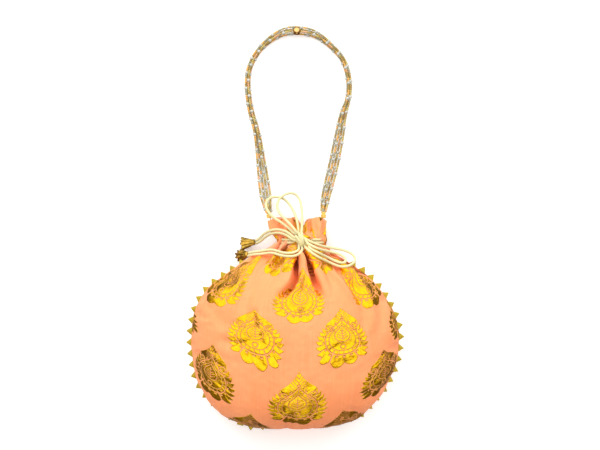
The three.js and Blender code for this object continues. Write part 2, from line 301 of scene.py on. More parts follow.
def printed_silk(name, shift):
    """The art silk with the print's repeat shifted over the cloth, in millimetres."""
    finish = Finish(name)
    across, up = finish.axes(finish.place((1000, 1000, 1), uv=True))
    across, up = across - shift[0], up - shift[1]
    # The two halves of the half-drop repeat: each place takes the motif that it is nearest to.
    half_x, half_y = REPEAT[0] / 2, REPEAT[1] / 2
    near_x, near_y = across.wrap(half_x), up.wrap(half_y)
    far_x, far_y = (across + half_x).wrap(half_x), (up + half_y).wrap(half_y)
    nearest = (near_x.abs() / half_x + near_y.abs() / half_y).below(1, 0.001)
    foil = foil_motif((far_x + (near_x - far_x) * nearest) / MOTIF_STRETCH[0],
                      (far_y + (near_y - far_y) * nearest) / MOTIF_STRETCH[1])

    def grain(per_metre_across, per_metre_up, detail, roughness=0.5):
        """Soft noise on the flat cloth, so many spots to the metre each way."""
        place = finish.place((per_metre_across, per_metre_up, 1), uv=True)
        return finish.noise(place, 1.0, detail, roughness)

    slub = grain(900, 22, 3.0, 0.6)
    cloudy = grain(14, 9, 2.0)
    threads = grain(2600, 260, 1.0)
    weft = grain(260, 3000, 1.0)
    worn = grain(420, 150, 3.0, 0.7)
    dulled = grain(62, 48, 3.0, 0.6)
    pucker = grain(70, 120, 3.0, 0.6)
    crumple = grain(36, 54, 1.0)
    silk = finish.blend(slub.spread(0.35, 2.2), SILK_DEEP, SILK)
    silk = finish.blend(cloudy.spread(0.3, 1.2), silk, SILK_PALE)
    gold = finish.blend(worn.spread(0.35, 2.0), GOLD_DEEP, GOLD)
    gold = finish.blend(dulled.spread(0.57, 9.0) * 0.8, gold, GOLD_DULL)
    weave = finish.bump(threads * 0.5 + weft * 0.5 + slub * 0.8, 0.25, 0.0002)
    height = foil * 0.3 + pucker * (0.5 + foil * 2.3) + crumple * foil * 7.0
    finish.set(Base_Color=finish.blend(foil, silk, gold), Metallic=foil * 0.95,
               Roughness=0.62 - foil * 0.34, Normal=finish.bump(height, 0.55, 0.0012, weave),
               Sheen_Weight=0.08, Sheen_Roughness=0.4, Sheen_Tint=(1.0, 0.8, 0.65, 1.0))
    return finish.material


# ---------------------------------------------------------------- the bag's cloth
# A front and a back of the same cut, seamed round the sides and bottom, and gathered at the neck
# by the drawcords so that the cloth above stands as a frill. Each starts as the full bag with its
# gathers folded in, and is then let go as cloth with the seam and the neck held.
# The seam and the crown of each row, in millimetres: left x and y, right x and y, seam height,
# the front's crown y and z, the back's crown y and z.
BAG_ROWS = [
    (-57, -97.5, 55, -97.5, 29, -101.5, 29, -101.5, 29),
    (-69, -92.3, 66, -92.3, 30, -107.0, 43, -104.0, 17),
    (-80, -85.5, 75, -85.0, 30, -108.6, 55, -100.0, 8),
    (-90, -77.5, 83, -77.0, 30, -104.5, 66, -92.0, 2),
    (-98, -67.5, 93, -66.0, 30, -94.0, 75.5, -80.0, 0),
    (-104, -56.0, 99.5, -54.0, 30, -78.5, 81.5, -66.0, 0),
    (-107, -42.0, 105.5, -40.0, 30, -60.0, 84.5, -50.0, 0),
    (-109, -26.0, 108.3, -24.0, 30, -40.0, 85.3, -33.0, 0),
    (-109.3, -9.0, 108.5, -6.0, 30, -18.0, 84.5, -16.0, 0),
    (-107, 8.0, 104, 10.0, 30, 3.0, 81.5, 2.0, 0),
    (-101.5, 24.0, 97, 24.0, 30, 21.0, 76.5, 19.0, 0),
    (-90, 39.5, 88, 38.0, 30, 37.0, 69, 35.0, 1),
    (-73, 52.5, 75, 52.0, 29, 52.0, 59.5, 49.0, 4),
    (-53, 65.5, 57, 64.5, 26.5, 65.0, 48.5, 62.0, 8),
    (-34.5, 76.8, 40, 75.5, 23, 76.5, 37.5, 75.0, 11),
    (-19.5, 86.0, 30.5, 86.0, 20, 86.5, 28.5, 86.0, 12),
    (-19.5, 90.0, 30.5, 90.0, 20, 90.0, 28.5, 90.0, 12),
    (-23.0, 98.0, 31.8, 98.0, 18, 98.5, 27.5, 98.0, 9.5),
    (-26.8, 111.5, 32.8, 111.5, 14, 112.0, 22.5, 111.5, 6.5),
]
# The two rows that the drawcords cinch, the side seam's height, half the cut cloth's width, the
# width of a pleat, where the frill's cleft is, and the cloth's least height over the table.
NECK_ROWS = (15, 16)
SEAM_HEIGHT = 30.0
CUT_HALF_WIDTH = 126.0
PLEAT = 33.0
FRILL_CLEFT = 7.0
TABLE_CLEAR = 0.7
# The grid that stands for the cloth, a cell being about 3 mm each way.
CLOTH_ROWS = 92
CLOTH_COLUMNS = 85
# How round the belly is across: below 1, its sides are fuller than an ellipse's.
FRONT_ROUND = 0.92
BACK_ROUND = 0.75
# The print: where one leaf stands on the flat cloth, the belly's line, along which the print is
# moved least at the sides, the line that the leaves crowd round, and how far each easing goes.
PRINT_CENTRE = 4.0
PRINT_ROW = 178.0
BELLY_LINE = 138.0
CROWD_LINE = 70.0
SIDE_DROP = 36.0
BELLY_DROP = 4.0
BELLY_SLOPE = 0.085
BELLY_DRIFT = 11.5
BELLY_TWIST = 0.04
CROWDING = 10.0
LOW_RIGHT_LIFT = 5.0
LEFT_SPREAD = 0.6
# By row: the deepest that the pleats may be, and how far the cinched cloth is drawn in.
DEEPEST_PLEAT = ([10, 12.5, 14, 15, 16, 18], [0, 1.2, 2.6, 3.8, 3.8, 3.4])
DRAWN_IN = ([11, 14, 15, 16, 17, 18], [0, 1.0, 2.5, 2.5, 0.2, 1.0])
# The cloth is let go at ten times its size, for so many frames.
SIM_SCALE = 10.0
SIM_FRAMES = 28


def smooth_rows(table, places):
    """The rows of a table read as one smooth curve at each of the places, a row being 1 long."""
    table = np.asarray(table, float)
    last = len(table) - 1
    row = np.clip(np.floor(places).astype(int), 0, last - 1)
    t = (places - row)[:, None]
    before, after = np.clip(row - 1, 0, last), np.clip(row + 2, 0, last)
    a, b, c, d = table[before], table[row], table[row + 1], table[after]
    return 0.5 * (2 * b + (c - a) * t + (2 * a - 5 * b + 4 * c - d) * t**2 + (3 * b - a - 3 * c + d) * t**3)


def lengths_along(points):
    """The length along a polyline at each of its points."""
    return np.concatenate([[0], np.cumsum(np.linalg.norm(np.diff(points, axis=0), axis=1))])


def even_lengths(points, count):
    """The places of count points at even lengths along a polyline, by its own index, and the
    polyline's length."""
    lengths = lengths_along(points)
    return np.interp(np.linspace(0, lengths[-1], count), lengths, np.arange(len(points))), lengths[-1]


def read_line(line, at, marks=None):
    """The points of a polyline at these places, which are by its own index or by marks along it."""
    marks = np.arange(len(line)) if marks is None else marks
    return np.stack([np.interp(at, marks, line[:, axis]) for axis in range(3)], axis=-1)


def hump(place, middle, width):
    """1 at the middle, falling off smoothly to about a third at width on either side of it."""
    return np.exp(-(((place - middle) / width) ** 2))


def lace_hang(x, z, row):
    """How far the bottom seam hangs below the rows' own line where the bag sags on it."""
    near = hump(z, SEAM_HEIGHT, 7.0) * hump(row, 0, 3.0)
    return near * (6.5 * hump(x, -46, 24) + 3.5 * hump(x, 72, 13))


def on_print(across, along):
    """The print's own coordinates at places on the flat cloth, in mm: the cloth is eased and drawn
    over the full belly, which turns and crowds the print. The numbers in a hump are its middle and
    its width, in mm on the flat cloth."""
    off_middle = np.abs(across)
    side = np.clip((off_middle - 66) / 24, 0, 1)
    on_belly = hump(along, BELLY_LINE, 24) * (1 - side * side * (3 - 2 * side))
    side_drop = SIDE_DROP * (1 - hump(across, 0, 95))
    belly_drop = BELLY_DROP * (1 - hump(across, 0, 18)) + BELLY_SLOPE * off_middle
    drift = BELLY_DRIFT - 7.0 * np.clip((off_middle - 70) / 24, 0, 1)
    up = along - side_drop * (1 - on_belly) - belly_drop * on_belly - drift * hump(along, 127, 34)
    up = up + BELLY_TWIST * across * hump(along, BELLY_LINE, 30)
    crowd = (up - CROWD_LINE) / 25
    up = up + CROWDING * crowd * np.exp(-crowd * crowd / 2) * np.cos(np.pi * across / REPEAT[0]) ** 2
    up = up + LOW_RIGHT_LIFT * hump(across, 100, 32) * hump(up, 72, 44)
    across = across + LEFT_SPREAD * np.clip(-across - 104, 0, None) * hump(up, 124, 26)
    lean = np.interp(across, [-110, -60, 0, 60, 100], [-3, 0, 4, 0, -7])
    return across - lean * np.interp(along, [110, 160], [0, 1]), up


def gathered_panel(front):
    """The start of the front or back: its grid of points in mm, its flat coordinates in mm, and
    the row numbers of its grid."""
    crown = slice(5, 7) if front else slice(7, 9)
    fine = np.linspace(0, len(BAG_ROWS) - 1, 600)
    places, height = even_lengths(smooth_rows(BAG_ROWS, fine)[:, crown], CLOTH_ROWS)
    rows = np.interp(places, np.arange(len(fine)), fine)
    table = smooth_rows(BAG_ROWS, rows)
    grid = np.zeros((CLOTH_ROWS, CLOTH_COLUMNS, 3))
    flat = np.zeros((CLOTH_ROWS, CLOTH_COLUMNS, 2))
    turn = np.linspace(-math.pi / 2, math.pi / 2, 181)
    bow = np.cos(turn) ** (FRONT_ROUND if front else BACK_ROUND)
    for i, (lx, ly, rx, ry, seam, fy, fz, by, bz) in enumerate(table):
        crown_y, crown_z = (fy, fz) if front else (by, bz)
        side_y = np.where(turn < 0, ly, ry)
        line = np.stack([(lx + rx) / 2 + (rx - lx) / 2 * np.sin(turn),
                         side_y + (crown_y - side_y) * np.cos(turn),
                         seam + (crown_z - seam) * bow], axis=1)
        line[:, 1] -= lace_hang(line[:, 0], line[:, 2], rows[i])
        at, length = even_lengths(line, CLOTH_COLUMNS)
        grid[i] = read_line(line, at)
        # Below its widest row the cloth is cut to the bag's outline, and above it straight.
        half = length / 2 if rows[i] < 7 else max(CUT_HALF_WIDTH, length / 2)
        half *= 1 + 0.08 * hump(rows[i], 8.6, 1.7)
        along = height * i / (CLOTH_ROWS - 1)
        flat[i, :, 0], flat[i, :, 1] = on_print(np.linspace(-half, half, CLOTH_COLUMNS), along)
    return grid, flat, rows


def fold_gathers(grid, flat, rows, front):
    """The extra cloth of each row folded in as pleats, deepest at the neck."""
    along = np.gradient(grid, axis=0)
    across = np.gradient(grid, axis=1)
    normal = np.cross(across, along)
    normal /= np.linalg.norm(normal, axis=2, keepdims=True) + 1e-9
    if not front:
        normal = -normal
    lengths = np.linalg.norm(np.diff(grid, axis=1), axis=2).sum(axis=1)
    widths = flat[:, -1, 0] - flat[:, 0, 0]
    spare = np.clip(widths / lengths - 1, 0, None)
    depth = PLEAT * lengths / widths / math.pi * np.sqrt(spare)
    depth = np.minimum(depth, np.interp(rows, *DEEPEST_PLEAT))
    u = flat[..., 0] - PRINT_CENTRE
    v = flat[..., 1]
    wander = 2.5 * np.sin(v / 23.0 + u / 41.0)
    tight = np.cos(2 * math.pi * (u + wander) / PLEAT)
    tight = tight + 0.35 * np.cos(2 * math.pi * (u * 1.7 + 9) / PLEAT + v / 30.0)
    loose = 1.1 * np.cos(2 * math.pi * (u - 14) / (2.1 * PLEAT))
    loose = loose + 0.3 * np.cos(2 * math.pi * u / (0.9 * PLEAT) + 1)
    opened = np.interp(rows, [15.5, 17.0], [0, 1])[:, None]
    wave = tight * (1 - opened) + loose * opened
    edge = np.clip((widths[:, None] / 2 - np.abs(flat[..., 0])) / 10, 0, 1)
    rise = depth[:, None] * wave * edge - np.interp(rows, *DRAWN_IN)[:, None] * edge
    # The frill stands as two soft lobes with a cleft between them, rounded at its corners.
    frill = np.clip((rows - 16) / 2, 0, 1)[:, None]
    x = grid[..., 0]
    cleft = hump(x, FRILL_CLEFT, 5.0)
    corner = np.clip(np.abs(x - 3.0) / 30, 0, 1) ** 5
    grid = grid.copy()
    grid[..., 1] -= frill**1.5 * (8.5 * cleft + 3.5 * corner - 0.9 * np.sin(x / 4.1 + 1))
    rise -= 3.4 * frill**0.5 * cleft * edge
    return grid + normal * rise[..., None]


def cloth_mesh(name, grid, flat, front):
    """The grid as a mesh in metres, facing out, with its flat coordinates as its UV map."""
    row_count, columns = grid.shape[:2]
    index = np.arange(row_count * columns).reshape(row_count, columns)
    quads = np.stack([index[:-1, :-1], index[:-1, 1:], index[1:, 1:], index[1:, :-1]], -1).reshape(-1, 4)
    if not front:
        quads = quads[:, ::-1]
    mesh = bpy.data.meshes.new(name)
    mesh.from_pydata((grid.reshape(-1, 3) * MM).tolist(), [], quads.tolist())
    layer = mesh.uv_layers.new(name="cloth")
    loops = np.zeros(len(mesh.loops), np.int32)
    mesh.loops.foreach_get("vertex_index", loops)
    layer.data.foreach_set("uv", (flat.reshape(-1, 2)[loops] * MM).ravel())
    piece = bpy.data.objects.new(name, mesh)
    scene.collection.objects.link(piece)
    return piece


def pick(*pieces):
    """Selects these pieces alone, with the first one active."""
    bpy.ops.object.select_all(action="DESELECT")
    for piece in pieces:
        piece.select_set(True)
    bpy.context.view_layer.objects.active = pieces[0]


def apply_modifier(piece, kind, **settings):
    pick(piece)
    made = piece.modifiers.new(kind.lower(), kind)
    for key, value in settings.items():
        setattr(made, key, value)
    bpy.ops.object.modifier_apply(modifier=made.name)


def let_go(piece, rows):
    """Runs the piece as cloth with its seam and its neck held, and keeps the result."""
    piece.data.transform(Matrix.Scale(SIM_SCALE, 4))
    held = piece.vertex_groups.new(name="held")
    filled = piece.vertex_groups.new(name="filled")
    for i, row in enumerate(rows):
        across = list(range(i * CLOTH_COLUMNS, (i + 1) * CLOTH_COLUMNS))
        all_held = i == 0 or NECK_ROWS[0] - 0.2 < row < NECK_ROWS[1] + 0.2
        held.add(across if all_held else [across[0], across[-1]], 1.0, "REPLACE")
        share = float(np.interp(row, [8, 12, 15, 18], [1.0, 0.35, 0.0, 0.15]))
        filled.add(across, share, "REPLACE")
    cloth = piece.modifiers.new("cloth", "CLOTH")
    settings = cloth.settings
    settings.quality = 6
    settings.mass = 0.2
    settings.tension_stiffness = settings.compression_stiffness = 18
    settings.shear_stiffness = 6
    settings.bending_stiffness = 0.35
    settings.air_damping = 2.0
    settings.vertex_group_mass = "held"
    settings.use_pressure = True
    settings.uniform_pressure_force = 1.2
    settings.vertex_group_pressure = "filled"
    settings.shrink_min = -0.012
    settings.effector_weights.gravity = 0.0
    cloth.collision_settings.use_collision = True
    cloth.collision_settings.distance_min = 0.004
    cloth.collision_settings.use_self_collision = False
    cloth.point_cache.frame_start = 1
    cloth.point_cache.frame_end = SIM_FRAMES
    for frame_number in range(1, SIM_FRAMES + 1):
        scene.frame_set(frame_number)
    pick(piece)
    bpy.ops.object.modifier_apply(modifier="cloth")
    piece.vertex_groups.clear()
    piece.data.transform(Matrix.Scale(1 / SIM_SCALE, 4))
    scene.frame_set(1)


def mesh_points(mesh, kind="co"):
    """The places of a mesh's points, or their normals, one to a row."""
    values = np.zeros(len(mesh.vertices) * 3)
    mesh.vertices.foreach_get(kind, values)
    return values.reshape(-1, 3)


def set_points(mesh, points, least_height):
    """Moves a mesh's points to these places, none lower than the least height."""
    points[:, 2] = np.maximum(points[:, 2], least_height * MM)
    mesh.vertices.foreach_set("co", points.ravel())


# The table as the cloth feels it, at the scale of the simulation.
bpy.ops.mesh.primitive_plane_add(size=12, location=(0, 0, 0.0))
floor_stop = bpy.context.object
floor_stop.modifiers.new("stop", "COLLISION")
floor_stop.collision.thickness_outer = 0.004

panels = {}
for side in ("front", "back"):
    is_front = side == "front"
    grid, flat, rows = gathered_panel(is_front)
    pleated = fold_gathers(grid, flat, rows, is_front)
    pleated[..., 2] = np.maximum(pleated[..., 2], TABLE_CLEAR)
    piece = cloth_mesh(f"{side}_cloth", pleated, flat, is_front)
    let_go(piece, rows)
    set_points(piece.data, mesh_points(piece.data), TABLE_CLEAR)
    panels[side] = piece
bpy.data.objects.remove(floor_stop)

# The folds that run down from the neck, and the soft creases of the belly. Each has the places
# that it passes over, its depth, its half width, and how far the cloth on its left rolls over it,
# or the cloth on its right where that is below 0.
DEEP_FOLDS = [
    ([(2.5, 85), (0.8, 74), (-0.6, 60), (-1.4, 50), (-5, 41), (-11, 35.5), (-20, 31)], 16.0, 3.3, -3.0),
    ([(8.5, 85), (11, 73), (15, 62), (18.5, 52), (24, 40), (29, 27)], 15.0, 3.2, 2.6),
    ([(18, 85), (30, 74), (42, 62), (54, 48), (63, 32), (69, 12)], 8.5, 4.0, 1.8),
    ([(26, 84), (44, 74), (60, 62), (72, 50), (82, 34)], 6.0, 3.6, 1.0),
    ([(-6, 85), (-11, 74), (-20, 65), (-27, 58)], 4.5, 3.6, 0),
    ([(-12, 84), (-28, 74), (-42, 60), (-48, 46), (-49, 30)], 3.6, 5.0, 0),
    ([(-44, 14), (-41, 0), (-36, -14), (-32, -26)], 2.2, 4.2, 0.6),
    ([(-74, -14), (-58, -17), (-44, -14), (-30, -18)], 1.6, 4.4, 0),
    ([(36, -24), (47, -20), (58, -16)], 1.2, 4.2, 0),
    ([(60, 46), (69, 30), (72, 14), (69, -4)], 3.4, 4.4, 0),
    ([(-88, 20), (-80, 8), (-64, 2), (-50, 4)], 1.5, 6.0, 0),
    ([(86, 22), (88, 6), (84, -12)], 1.8, 5.0, 0),
    ([(40, 50), (48, 38), (50, 26)], 1.8, 3.4, 0),
]
WRINKLE_HEIGHT = 0.55
WRINKLE_LENGTH = 17.0


def press_folds(piece, folds):
    """Presses each fold into the cloth along its normals, with a soft roll on both sides of it, and
    leaves the small soft wrinkles of thin silk all over."""
    points = mesh_points(piece.data)
    normals = mesh_points(piece.data, "normal")
    plan = points[:, :2] / MM
    wrinkle = np.array([noise.fractal(Vector(p) / (WRINKLE_LENGTH * MM), 0.6, 2.0, 3) for p in points])
    rise = WRINKLE_HEIGHT * wrinkle
    slide = np.zeros_like(plan)
    for route, depth, half, lip in folds:
        route = smooth_rows(route, np.linspace(0, len(route) - 1, 40))
        gap = plan[:, None, :] - route[None]
        away = np.linalg.norm(gap, axis=2)
        nearest = away.argmin(axis=1)
        gap = gap[np.arange(len(plan)), nearest]
        away = away.min(axis=1)
        taper = np.interp(nearest, [0, 6, 24, 39], [0.7, 1.0, 0.8, 0.0])
        groove = hump(away, 0, half) - 0.4 * hump(away, 2.1 * half, 1.1 * half)
        rise -= depth * taper * groove
        way = np.gradient(route, axis=0)[nearest]
        left = way[:, 0] * gap[:, 1] - way[:, 1] * gap[:, 0] > 0
        over = abs(lip) * taper * hump(away, 1.4 * half, 0.9 * half)
        over = over * (left if lip > 0 else ~left)
        slide -= gap / (away[:, None] + 1e-6) * over[:, None]
    points += normals * (rise * MM)[:, None]
    points[:, :2] += slide * MM
    set_points(piece.data, points, TABLE_CLEAR)
    piece.data.update()


for side, piece in panels.items():
    apply_modifier(piece, "SUBSURF", levels=1, render_levels=1)
    press_folds(piece, DEEP_FOLDS if side == "front" else [])
    for polygon in piece.data.polygons:
        polygon.use_smooth = True
    piece.data.materials.append(printed_silk(f"{side}_silk", (PRINT_CENTRE, PRINT_ROW)))

# ---------------------------------------------------------------- the lining
# Plain peach poplin of the same cut, seamed inside the bag and turned over at the frill. It shows
# only down inside the mouth.
LINING_DEEP = (0.8, 0.3, 0.14, 1)
LINING_PALE = (0.9, 0.42, 0.22, 1)
LINING_INSET = 1.3
LINING_CLEAR = 1.6
LINING_THICK = 0.3
SILK_THICK = 0.45
lining_finish = Finish("lining_poplin")
lining_weave = lining_finish.noise(lining_finish.place((1500, 1500, 1), uv=True), 1.0, 1.0)
lining_finish.set(Base_Color=lining_finish.blend(lining_weave, LINING_DEEP, LINING_PALE),
                  Roughness=0.85, Normal=lining_finish.bump(lining_weave, 0.3, 0.0002))


def inward_copy(piece, name, inset):
    """A copy of a cloth piece, moved inwards along its normals."""
    copy = bpy.data.objects.new(name, piece.data.copy())
    scene.collection.objects.link(copy)
    points = mesh_points(copy.data) - mesh_points(copy.data, "normal") * inset * MM
    set_points(copy.data, points, LINING_CLEAR)
    copy.data.materials.clear()
    return copy


linings = {}
for side, piece in panels.items():
    lining = inward_copy(piece, f"{side}_lining_cloth", LINING_INSET)
    lining.data.materials.append(lining_finish.material)
    linings[side] = lining
for side, piece in panels.items():
    apply_modifier(linings[side], "SOLIDIFY", thickness=LINING_THICK * MM, offset=-1)
    apply_modifier(piece, "SOLIDIFY", thickness=SILK_THICK * MM, offset=-1)
    for cloth, node, slot in ((piece, f"{side}_panel", "silk"), (linings[side], f"{side}_lining", "lining")):
        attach(cloth, "root")
        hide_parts(node)

# ---------------------------------------------------------------- the gota lace
# Small folded points of lime-gold metallic ribbon on a narrow tape, caught in the side seam from
# shoulder to shoulder round the bottom. Each point is a ribbon folded over itself.
TOOTH_PITCH = 11.6
TOOTH_REACH = 5.4
TOOTH_HALF = 4.4
TOOTH_ROOT = 0.8
FOLD_HEIGHT = 0.35
LACE_FROM_ROW = 13.1
SEAM_STEPS = 86
RIBBON_DEEP = (0.26, 0.17, 0.01, 1)
RIBBON_PALE = (0.72, 0.55, 0.04, 1)
lace_finish = Finish("gota_ribbon")
hatch_place = lace_finish.place((1, 1, 1))
hatch = lace_finish.node("ShaderNodeTexWave", {"bands_direction": "DIAGONAL"},
                         {"Vector": hatch_place, "Scale": 420, "Distortion": 1.5, "Detail": 1})
lace_cloud = lace_finish.noise(hatch_place, 160, 2.0)
lace_finish.set(Base_Color=lace_finish.blend(hatch * 0.6 + lace_cloud * 0.4, RIBBON_DEEP, RIBBON_PALE),
                Metallic=0.75, Roughness=0.38, Normal=lace_finish.bump(hatch, 0.5, 0.0002))


def ribbon_point():
    """One point lying flat, its root along X and its tip towards +Y: the two layers of a folded
    ribbon, each with its crease standing up a little."""
    for layer, lean in enumerate((1, -1)):
        if layer == 0:
            bpy.ops.object.select_all(action="DESELECT")
        bpy.ops.mesh.primitive_cone_add(vertices=3, radius1=MM, radius2=0, depth=FOLD_HEIGHT * MM)
        half = bpy.context.object
        bpy.ops.object.mode_set(mode="EDIT")
        bpy.ops.mesh.select_all(action="SELECT")
        widen = TOOTH_HALF / math.sin(math.pi / 3)
        lengthen = (TOOTH_REACH + TOOTH_ROOT) / 1.5
        bpy.ops.transform.resize(value=(widen, lengthen, 1), center_override=(0, 0, 0))
        forward = (TOOTH_REACH - 2 * TOOTH_ROOT) / 3 * MM
        bpy.ops.transform.translate(value=(0.25 * lean * MM, forward, (layer + 0.5) * FOLD_HEIGHT * MM))
        bpy.ops.object.mode_set(mode="OBJECT")
        if layer == 0:
            first = half
    first.select_set(True)
    bpy.ops.object.join()
    return bpy.context.object


def joined_copies(name, pattern, places):
    """One object of copies of the pattern's mesh, one at each 4 x 4 place."""
    count = len(pattern.data.vertices)
    points = np.c_[mesh_points(pattern.data), np.ones(count)]
    faces = [list(face.vertices) for face in pattern.data.polygons]
    every_point = np.concatenate([(points @ np.array(place).T)[:, :3] for place in places])
    every_face = [[i + count * n for i in face] for n in range(len(places)) for face in faces]
    mesh = bpy.data.meshes.new(name)
    mesh.from_pydata(every_point.tolist(), [], every_face)
    made = bpy.data.objects.new(name, mesh)
    scene.collection.objects.link(made)
    return made


row_numbers = np.linspace(0, LACE_FROM_ROW, 200)
seam_rows = smooth_rows(BAG_ROWS, row_numbers)
bottom_turn = np.linspace(-math.pi / 2, math.pi / 2, 60)[1:-1]
lx, ly, rx, ry, seam, _, _, by, _ = seam_rows[0]
bottom_line = np.stack([(lx + rx) / 2 + (rx - lx) / 2 * np.sin(bottom_turn),
                        ly + (by - ly) * np.cos(bottom_turn),
                        np.full(len(bottom_turn), seam)], axis=1)
seam_line = np.concatenate([seam_rows[::-1, [0, 1, 4]], bottom_line, seam_rows[:, [2, 3, 4]]])
hang_rows = np.concatenate([row_numbers[::-1], np.zeros(len(bottom_line)), row_numbers])
seam_line[:, 1] -= lace_hang(seam_line[:, 0], seam_line[:, 2], hang_rows)
seam_at, seam_length = even_lengths(seam_line, SEAM_STEPS + 1)
teeth = int(seam_length / TOOTH_PITCH)
tooth_places = []
for n in range(teeth):
    index = np.interp((n + 0.5) / teeth * SEAM_STEPS, np.arange(SEAM_STEPS + 1), seam_at)
    here, ahead = (read_line(seam_line, index + step) for step in (-0.5, 0.5))
    along = ahead - here
    along[2] = 0
    along /= np.linalg.norm(along)
    outward = np.array([along[1], -along[0], 0])
    tilt = 0.12 * math.sin(2.3 * n) - 0.1
    outward = outward * math.cos(tilt) + np.array([0, 0, math.sin(tilt)])
    upward = np.cross(-along, outward)
    place = np.eye(4)
    place[:3, 0], place[:3, 1], place[:3, 2] = -along, outward, upward
    place[:3, 3] = ((here + ahead) / 2) * MM
    tooth_places.append(place)
tooth = ribbon_point()
lace = joined_copies("gota_points", tooth, tooth_places)
bpy.data.objects.remove(tooth)
lace.data.materials.append(lace_finish.material)
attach(lace, "root")
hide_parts("gota_lace")

# ---------------------------------------------------------------- the drawcords
# Two cream satin rattail cords, each running once round the neck and tied with the other in one
# bow on the front. Each ends in a latkan. Places are x, y and the least height, in millimetres.
CORD_RADIUS = 1.4
DRAWCORD_ROUTES = {
    "a": {
        "upper_tail": [(-42.4, 88.0, 9.4), (-38.8, 89.6, 11), (-33.8, 94.8, 15.5), (-25.6, 98.8, 23),
                       (-17.0, 99.6, 28.5), (-8.0, 96.6, 33), (-1.8, 91.2, 36.2)],
        "top_loop": [(-0.4, 94.0, 33.4), (-5.4, 99.6, 31.5), (-14.4, 106.8, 28), (-22.4, 111.6, 25),
                     (-28.0, 117.0, 22.5), (-31.2, 123.6, 19), (-31.0, 129.2, 16), (-26.8, 133.4, 12.5),
                     (-20.0, 134.4, 9), (-14.2, 133.2, 6.5), (-8.2, 128.7, 6), (-2.8, 120.6, 12),
                     (0.6, 112.6, 25), (2.4, 104.0, 27.5), (3.4, 96.0, 32.6)],
        "side_loop": [(11.8, 89.2, 38.4), (17.6, 86.0, 38.6), (25.8, 83.0, 36), (34.4, 81.0, 32),
                      (44.6, 79.4, 28.5), (54.8, 76.6, 28.5), (61.0, 72.6, 31), (62.8, 68.2, 34),
                      (59.4, 63.8, 38), (51.0, 60.8, 40), (43.0, 62.2, 36), (32.5, 66.8, 36),
                      (20.5, 73.0, 36), (12.4, 79.4, 36), (9.6, 82.4, 36)],
        "lower_tail": [(3.4, 81.3, 36), (3.2, 78.4, 36), (-0.2, 76.2, 36), (-6.3, 75.1, 36),
                       (-14.2, 75.8, 34), (-25.1, 78.6, 31), (-36.3, 77.0, 28.4), (-44.0, 76.0, 27.4),
                       (-49.4, 75.0, 22.6)],
    },
    "b": {
        "upper_tail": [(-42.6, 84.8, 9.2), (-37.4, 87.0, 11), (-31.8, 92.0, 15), (-24.8, 95.4, 22),
                       (-17.0, 96.2, 28.5), (-8.4, 93.2, 33), (-2.0, 88.0, 36.2)],
        "top_loop": [(1.8, 95.4, 37.2), (-2.4, 101.5, 35.2), (-8.0, 107.5, 32), (-13.4, 113.0, 28),
                     (-18.2, 119.2, 21), (-19.6, 125.8, 16), (-17.6, 131.7, 13), (-12.7, 136.1, 9.5),
                     (-5.3, 138.7, 5), (0.8, 136.9, 3.4), (4.6, 131.0, 4), (6.4, 122.2, 10),
                     (6.9, 113.0, 25), (6.8, 105.0, 28.6), (6.2, 96.2, 35.6)],
        "side_loop": [(11.6, 85.8, 40), (17.2, 82.6, 41.4), (25.2, 79.2, 40), (34.6, 76.8, 35),
                      (44.0, 74.6, 31), (50.6, 71.2, 31), (52.8, 67.6, 33), (50.4, 64.8, 36),
                      (44.6, 65.6, 36), (34.4, 70.2, 36), (22.4, 76.2, 36), (15.6, 79.8, 36),
                      (12.8, 83.4, 36)],
        "lower_tail": [(6.8, 81.3, 36), (6.6, 77.6, 36), (2.0, 73.2, 36), (-5.3, 71.8, 36),
                       (-14.2, 72.6, 34), (-25.1, 75.3, 31), (-36.3, 74.0, 30.5), (-44.6, 73.3, 27.6),
                       (-49.8, 71.8, 22.6)],
    },
}
NECK_RING = {"a": 85.9, "b": 89.1}
NECK_CENTRE = (6, 20)
NECK_HALF_WIDTH = 24.8
DRAWCORD_STEP = 1.6
DRAPE_STEP = 1.25
SATIN_DEEP = (0.62, 0.56, 0.27, 1)
SATIN_PALE = (0.82, 0.76, 0.43, 1)
satin = Finish("satin_rattail")
cord_along, cord_round = satin.axes(satin.place((1, 1, 1), uv=True))
twill = ((cord_along * 900 + cord_round * 3) * 6.2832).math("SINE") * 0.5 + 0.5
satin_cloud = satin.noise(satin.place((1, 1, 1)), 90, 2.0)
satin.set(Base_Color=satin.blend(twill * 0.35 + satin_cloud * 0.65, SATIN_DEEP, SATIN_PALE),
          Roughness=0.36, Normal=satin.bump(twill, 0.3, 0.00015), Sheen_Weight=0.3)

cloth_top = bvhtree.BVHTree.FromObject(panels["front"], bpy.context.evaluated_depsgraph_get())


def cord_line(places, step):
    """A smooth line through the places, in even steps of about this length, and its length."""
    fine = smooth_rows(places, np.linspace(0, len(places) - 1, 24 * len(places)))
    at, length = even_lengths(fine, 2 + int(lengths_along(fine)[-1] / step))
    return read_line(fine, at), length


def eased(values):
    """All values but the first and last, each averaged with its neighbours."""
    return (values[:-2] + 2 * values[1:-1] + values[2:]) / 4


